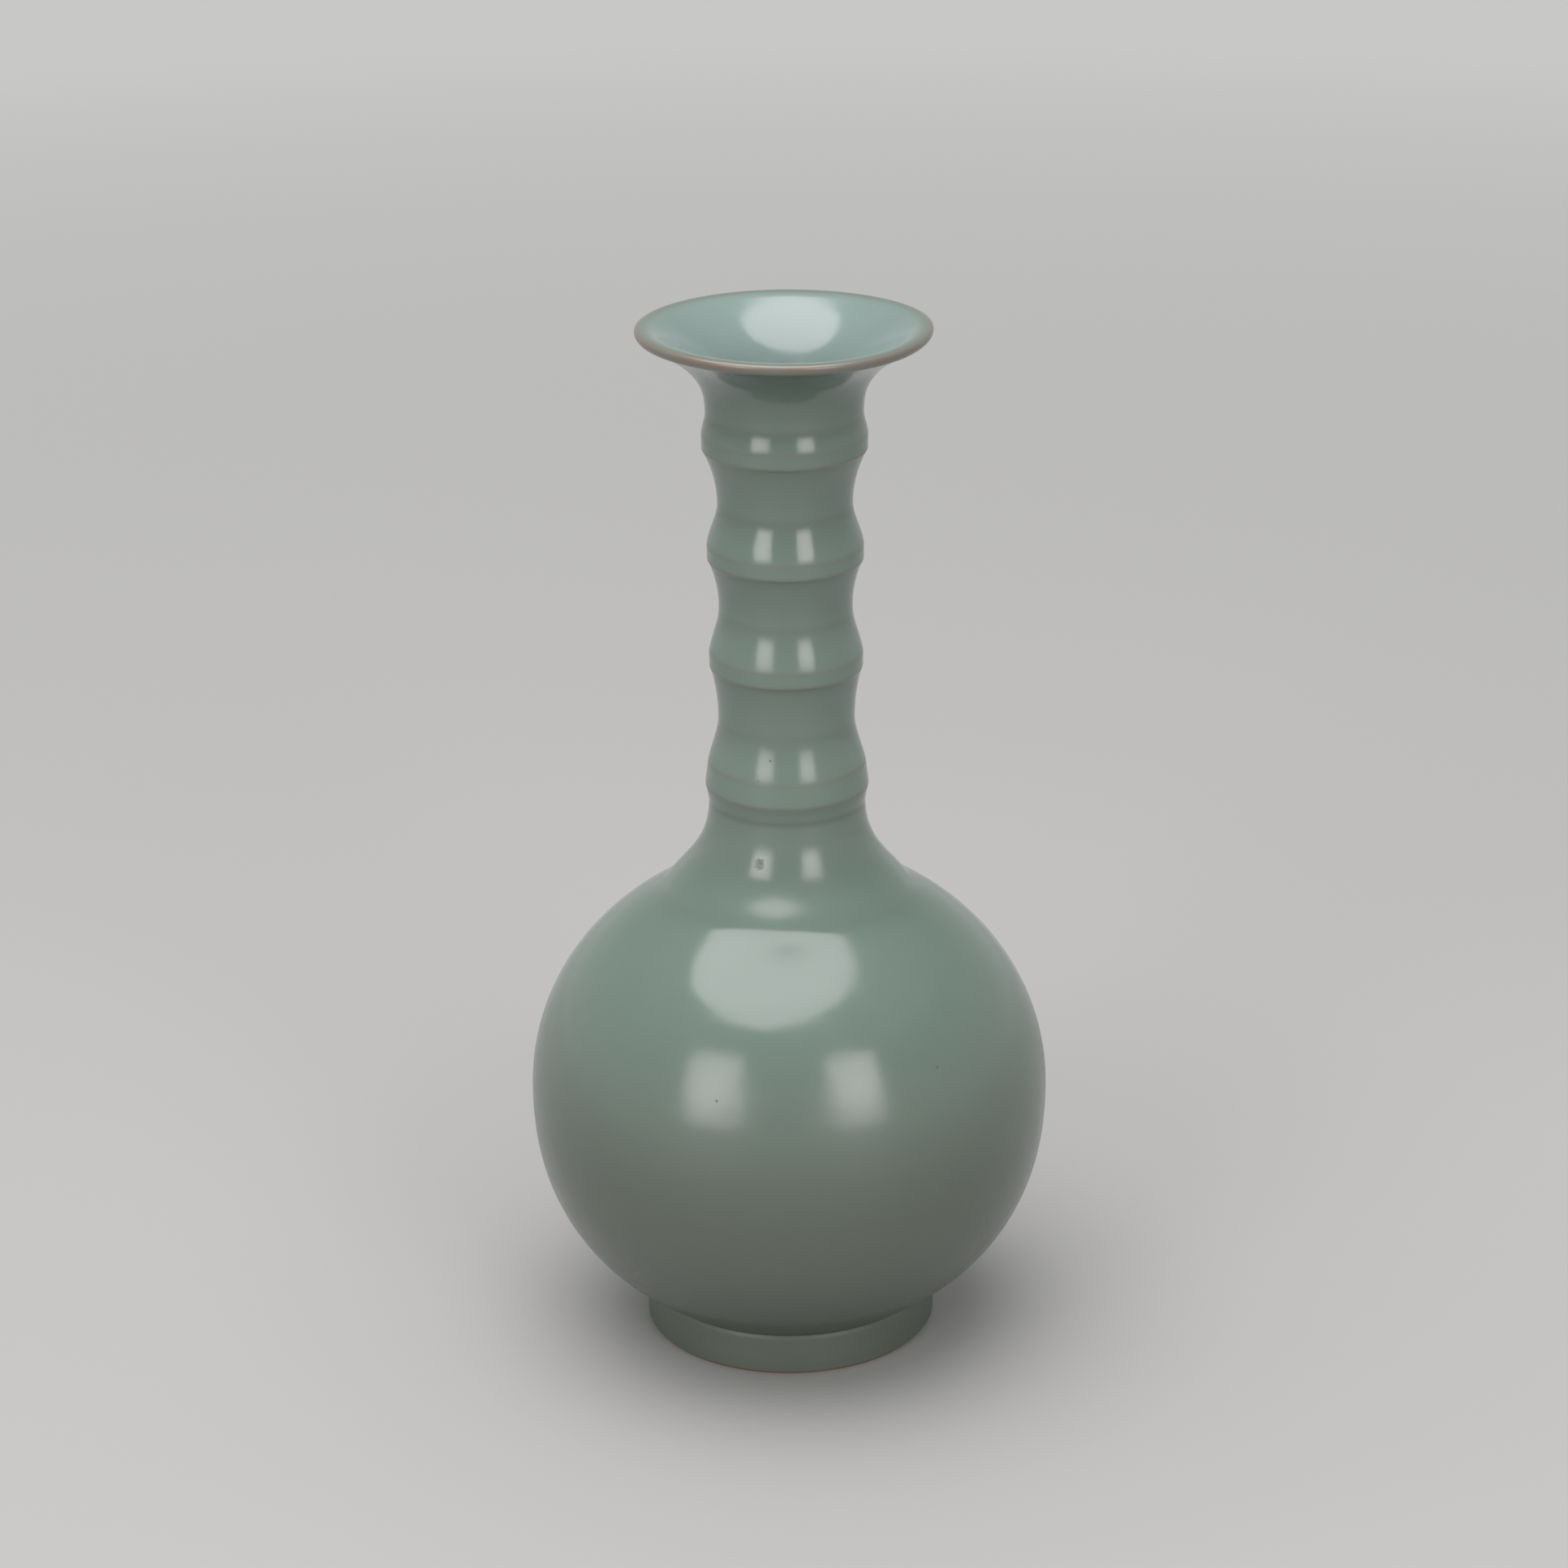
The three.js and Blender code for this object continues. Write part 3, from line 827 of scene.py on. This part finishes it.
# flaws that show in the photograph: place on the surface and radius in mm, darkness, depth, dullness, pale ring;
# the first is a burst bubble on the collar, and the second the iron in it
flaws = (
    {"at": (-7.52, -21.72, 141.54), "radius": 1.5, "dark": 0.3, "depth": 0.42, "dull": 0.2, "halo": 0.1},
    {"at": (-7.38, -21.65, 141.86), "radius": 0.45, "dark": 0.9, "depth": 0.3, "dull": 0.2, "halo": 0.0},
    {"at": (-4.33, -18.56, 169.09), "radius": 0.32, "dark": 0.4, "depth": 0.5, "dull": 0.1, "halo": 0.0},
    {"at": (-7.53, -19.32, 163.77), "radius": 0.35, "dark": 0.5, "depth": 0.5, "dull": 0.1, "halo": 0.0},
    {"at": (26.64, -11.98, 132.86), "radius": 0.45, "dark": 0.5, "depth": 0.5, "dull": 0.1, "halo": 0.0},
    {"at": (38.29, -50.36, 96.26), "radius": 0.55, "dark": 0.55, "depth": 0.0, "dull": 0.1, "halo": 0.0},
    {"at": (-18.66, -62.17, 92.65), "radius": 0.40, "dark": 0.35, "depth": 0.5, "dull": 0.1, "halo": 0.0},
)


def glazeMaterial(name, s, marks=()):
    # celadon over stoneware: tone by thickness with painted shade, cloudy drift, iron specks, pinholes and a wavy
    # gloss;
    # height = ripples - pinholes - flaws, roughness = patches + worn thin + dull foot + flaws
    material, tree, shader, place = newMaterial(name)
    masks = {key: node(tree, "Attribute", attribute_name=key).outputs["Fac"]
             for key in ("glazeThin", "glazePool", "glazeInward", "glazeDull")}
    tone = placed(tree, "tone", {
        "Place": place, "Thin": masks["glazeThin"], "Pool": masks["glazePool"], "Inward": masks["glazeInward"],
        "Body": linear(*s["body"]), "Deep": linear(*s["deep"]),
        "Brown": linear(*s["brown"]), "Inside": linear(*s["inside"]),
    }).outputs["Color"]
    cloud = placed(tree, "cloud", {"Place": place, "Amount": s["cloud"]}).outputs["Value"]
    colour = mixed(tree, 1.0, tone, cloud, "MULTIPLY")
    iron = placed(tree, "specks", {"Place": place, **s["iron"]}).outputs["Mask"]
    iron = maths(tree, "MULTIPLY", iron, s["ironStrength"])
    colour = mixed(tree, iron, colour, linear(*s["ironColour"]))
    pins = placed(tree, "specks", {"Place": place, **s["pinholes"]}).outputs["Mask"]
    height = placed(tree, "surface", {"Place": place}).outputs["Height"]
    height = maths(tree, "SUBTRACT", height, maths(tree, "MULTIPLY", pins, s["pinDepth"]))
    matt = 0.0
    for mark in marks:
        spot = placed(tree, "spot", {
            "Place": place, "Centre": [c * mm for c in mark["at"]], "Radius": mark["radius"] * mm,
        }).outputs
        if mark["halo"]:
            pale = maths(tree, "MULTIPLY", spot["Halo"], mark["halo"])
            colour = mixed(tree, pale, colour, linear(*s["haloColour"]))
        dark = maths(tree, "MULTIPLY", spot["Disc"], mark["dark"])
        colour = mixed(tree, dark, colour, linear(*s["flawColour"]))
        deep = maths(tree, "MULTIPLY", spot["Disc"], s["flawDepth"] * mark["depth"])
        height = maths(tree, "SUBTRACT", height, deep)
        matt = maths(tree, "ADD", matt, maths(tree, "MULTIPLY", spot["Disc"], mark["dull"]))
    bump = node(tree, "Bump")
    feed(tree, bump, {"Strength": 1.0, "Distance": s["ripple"], "Height": height})
    least, most = (s["roughness"] + change for change in s["patches"])
    rough = mapped(tree, noise(tree, place, 35.0, 3.0), 0.35, 0.7, least, most)
    rough = maths(tree, "ADD", rough, maths(tree, "MULTIPLY", masks["glazeThin"], s["worn"]))
    rough = maths(tree, "ADD", rough, maths(tree, "MULTIPLY", masks["glazeDull"], s["dull"]))
    if marks:
        rough = maths(tree, "ADD", rough, matt)
    feed(tree, shader, {
        "Base Color": colour, "Roughness": rough, "Normal": bump.outputs["Normal"],
        "IOR": s["index"], "Specular IOR Level": s["shine"],
    })
    return material


stoneware = {
    "colours": ((146, 126, 108), (120, 98, 80)),  # it drifts from one to the other
    "cloud": 0.25,
    "grains": {"Scale": 900.0, "Size": 0.25, "Share": 0.12},
    "grainColour": (74, 54, 42),
    "grainStrength": 0.5,
    "sand": 1500.0,  # bumps to the metre
    "sandDepth": 0.00012,  # metres
    "roughness": (0.7, 0.9),
}
lutingSlip = dict(stoneware, colours=((128, 106, 90), (110, 88, 72)))


def clayMaterial(name, s):
    # fired stoneware: matt and slightly sandy, with dark grains and a slow drift in tone
    material, tree, shader, place = newMaterial(name)
    cloud = placed(tree, "cloud", {"Place": place, "Amount": s["cloud"]}).outputs["Value"]
    base = mixed(tree, noise(tree, place, 40.0, 3.0), *(linear(*colour) for colour in s["colours"]))
    base = mixed(tree, 1.0, base, cloud, "MULTIPLY")
    grains = placed(tree, "specks", {"Place": place, **s["grains"]}).outputs["Mask"]
    base = mixed(tree, maths(tree, "MULTIPLY", grains, s["grainStrength"]), base, linear(*s["grainColour"]))
    sand = noise(tree, place, s["sand"], 3.0, 0.6)
    bump = node(tree, "Bump")
    feed(tree, bump, {"Strength": 0.6, "Distance": s["sandDepth"], "Height": sand})
    rough = mapped(tree, sand, 0.3, 0.7, *s["roughness"])
    feed(tree, shader, {"Base Color": base, "Roughness": rough, "Normal": bump.outputs["Normal"]})
    return material


finishes = {
    "glaze": glazeMaterial("celadonGlaze", glaze, flaws),
    "inner_glaze": glazeMaterial("innerCeladonGlaze", glaze),
    "lip_glaze": glazeMaterial("thinLipGlaze", lipGlaze),
    "clay": clayMaterial("firedStoneware", stoneware),
    "slip": clayMaterial("lutingSlip", lutingSlip),
}
# each piece and the node that it replaces take the look of the node's slot
slots = {entry["node"]: entry["material_slot"] for entry in frame["record"]["subparts"]}
for nodeName, piece in pieces.items():
    slotName = slots[nodeName]
    piece.data.materials.append(finishes[slotName])
    frame["nodes"][nodeName].data.materials.clear()
    frame["nodes"][nodeName].data.materials.append(finishes[slotName])
    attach(piece, "root")
    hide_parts(nodeName)
print("materials set on", len(pieces), "pieces")


# Lamps, sky and floor

cool, warm = (1.0, 0.935, 0.965), (1.0, 0.905, 0.92)  # colours of the overhead lamp and the front ones
lamps = {
    "overhead": {"shape": "DISK", "azimuth": -68.0, "rise": 83.8, "roll": 0.0, "far": 2.1, "size": (2.42, 2.42),
                 "level": 2.66, "colour": cool, "fade": 0.01, "dim": (0.0, 0.0)},
    "frontLeft": {"shape": "RECTANGLE", "azimuth": -36.2, "rise": 20.0, "roll": 11.0, "far": 2.4, "size": (1.1, 1.75),
                  "level": 3.2, "colour": warm, "fade": 0.35, "dim": (1.0, 1.3)},
    "frontRight": {"shape": "RECTANGLE", "azimuth": 31.3, "rise": 20.5, "roll": -6.0, "far": 2.4, "size": (1.0, 1.75),
                   "level": 3.2, "colour": warm, "fade": 0.35, "dim": (1.0, 1.3)},
}
lampCentre = (0.0, -0.05, 0.10)  # what they face, on the front of the belly


def addLamp(name, s):
    # place = centre + far (sin azimuth cos rise, -cos azimuth cos rise, sin rise), azimuth 0 being towards the camera
    azimuth, rise = math.radians(s["azimuth"]), math.radians(s["rise"])
    way = (math.sin(azimuth) * math.cos(rise), -math.cos(azimuth) * math.cos(rise), math.sin(rise))
    data = bpy.data.lights.new(name, "AREA")
    data.shape = s["shape"]
    data.size, data.size_y = s["size"]
    area = s["size"][0] * s["size"][1] * (math.pi / 4 if s["shape"] == "DISK" else 1.0)
    data.energy = s["level"] * math.pi * area  # so that the lamp's face shows at the level
    data.color = s["colour"]
    # level = rise (1 - side (x - 0.5)^2) (1 - end (y - 0.5)^2) over the lamp's face, brightest at its middle,
    # where rise goes from 0 at the lower edge to 1 at a share "fade" of the height
    data.use_nodes = True
    tree = data.node_tree
    across = node(tree, "SeparateXYZ")
    feed(tree, across, {"Vector": node(tree, "NewGeometry").outputs["Parametric"]})
    level = mapped(tree, across.outputs["Y"], 0.0, s["fade"], 0.0, 1.0)
    for axis, dim in zip("XY", s["dim"]):
        off = maths(tree, "SUBTRACT", across.outputs[axis], 0.5)
        loss = maths(tree, "MULTIPLY", maths(tree, "MULTIPLY", off, off), dim)
        level = maths(tree, "MULTIPLY", level, maths(tree, "SUBTRACT", 1.0, loss))
    feed(tree, tree.nodes["Emission"], {"Strength": level})
    obj = bpy.data.objects.new(name, data)
    bpy.context.scene.collection.objects.link(obj)
    obj.location = [c + s["far"] * w for c, w in zip(lampCentre, way)]
    away = obj.location.copy()
    away.x, away.y, away.z = way
    obj.rotation_mode = "QUATERNION"
    turn = away.to_track_quat("Z", "Y")
    turn.rotate(Quaternion(away, math.radians(s["roll"])))
    obj.rotation_quaternion = turn
    obj.visible_camera = False


sky = {
    "plain": 0.4,  # light from all round
    "horizon": 0.57,  # what shows in the glaze, from here up to the zenith
    "zenith": 0.16,
    "zenithFrom": 0.5,  # sine of the rise from which it is that dark
    "colour": (1.0, 1.0, 0.99, 1.0),
}


def seenRays(tree):
    # 1 for what the camera sees, directly or in a reflection, and 0 for light that is thrown on things
    path = node(tree, "LightPath")
    seen = maths(tree, "MAXIMUM", path.outputs["Is Camera Ray"], path.outputs["Is Glossy Ray"])
    return maths(tree, "MAXIMUM", seen, path.outputs["Is Transmission Ray"])


def addWorld(s):
    # strength = plain + seen (horizon + (zenith - horizon) rise - plain), rise being 0 at the horizon and 1 above
    world = bpy.data.worlds.new("studio")
    world.use_nodes = True
    tree = world.node_tree
    way = node(tree, "SeparateXYZ")
    feed(tree, way, {"Vector": node(tree, "TexCoord").outputs["Generated"]})
    low, high = s["horizon"] - s["plain"], s["zenith"] - s["plain"]
    shown = mapped(tree, way.outputs["Z"], 0.0, s["zenithFrom"], low, high)
    level = maths(tree, "ADD", maths(tree, "MULTIPLY", shown, seenRays(tree)), s["plain"])
    feed(tree, tree.nodes["Background"], {"Color": s["colour"], "Strength": level})
    bpy.context.scene.world = world


studio = {
    "radius": 7.0,  # metres
    "columns": 96,
    "rings": 40,  # the first being its centre
    "drop": 0.00005,  # metres, so that it doesn't share the foot's plane
    "colour": (188, 191, 189),
    "roughness": 0.6,
    "bounce": (118, 118, 118),  # a greyer floor for the light that it throws up on the vase
    "shown": (200, 200, 198),  # far from the vase, starting and complete at these distances
    "near": 0.45,
    "far": 1.8,
}


def addFloor(s):
    # a disc of rings with r = radius t^2, and a material that keeps the far floor as pale as it is by the vase
    columns = s["columns"]
    a = np.linspace(0.0, 2 * math.pi, columns, endpoint=False)[None, :]
    r = s["radius"] * np.linspace(0.0, 1.0, s["rings"])[1:, None] ** 2
    points = np.stack([r * np.cos(a), r * np.sin(a), 0 * r * a - s["drop"]], axis=-1).reshape(-1, 3)
    i = np.arange(r.size - 1)[:, None] * columns
    j = np.arange(columns)[None, :]
    k = (j + 1) % columns
    faces = np.stack([i + j, i + columns + j, i + columns + k, i + k], axis=-1).reshape(-1, 4).tolist()
    faces.append(list(range(columns)))
    mesh = bpy.data.meshes.new("floor")
    mesh.from_pydata(points.tolist(), [], faces)
    obj = bpy.data.objects.new("floor", mesh)
    bpy.context.scene.collection.objects.link(obj)
    material, tree, shader, place = newMaterial("paleFloor")
    apart = node(tree, "VectorMath", operation="LENGTH")
    feed(tree, apart, {0: place})
    fade = mapped(tree, apart.outputs["Value"], s["near"], s["far"], 0.0, 1.0)
    seen = seenRays(tree)
    colour = mixed(tree, seen, linear(*s["bounce"]), linear(*s["colour"]))
    feed(tree, shader, {"Base Color": colour, "Roughness": s["roughness"]})
    glow = node(tree, "Emission")
    feed(tree, glow, {"Color": linear(*s["shown"]), "Strength": 1.0})
    share = maths(tree, "MULTIPLY", fade, seen)
    blend = node(tree, "MixShader")
    feed(tree, blend, {0: share, 1: shader.outputs["BSDF"], 2: glow.outputs["Emission"]})
    tree.links.new(blend.outputs["Shader"], tree.nodes["Material Output"].inputs["Surface"])
    mesh.materials.append(material)


for lampName, lampSettings in lamps.items():
    addLamp(lampName, lampSettings)
addWorld(sky)
addFloor(studio)
print("studio lit")
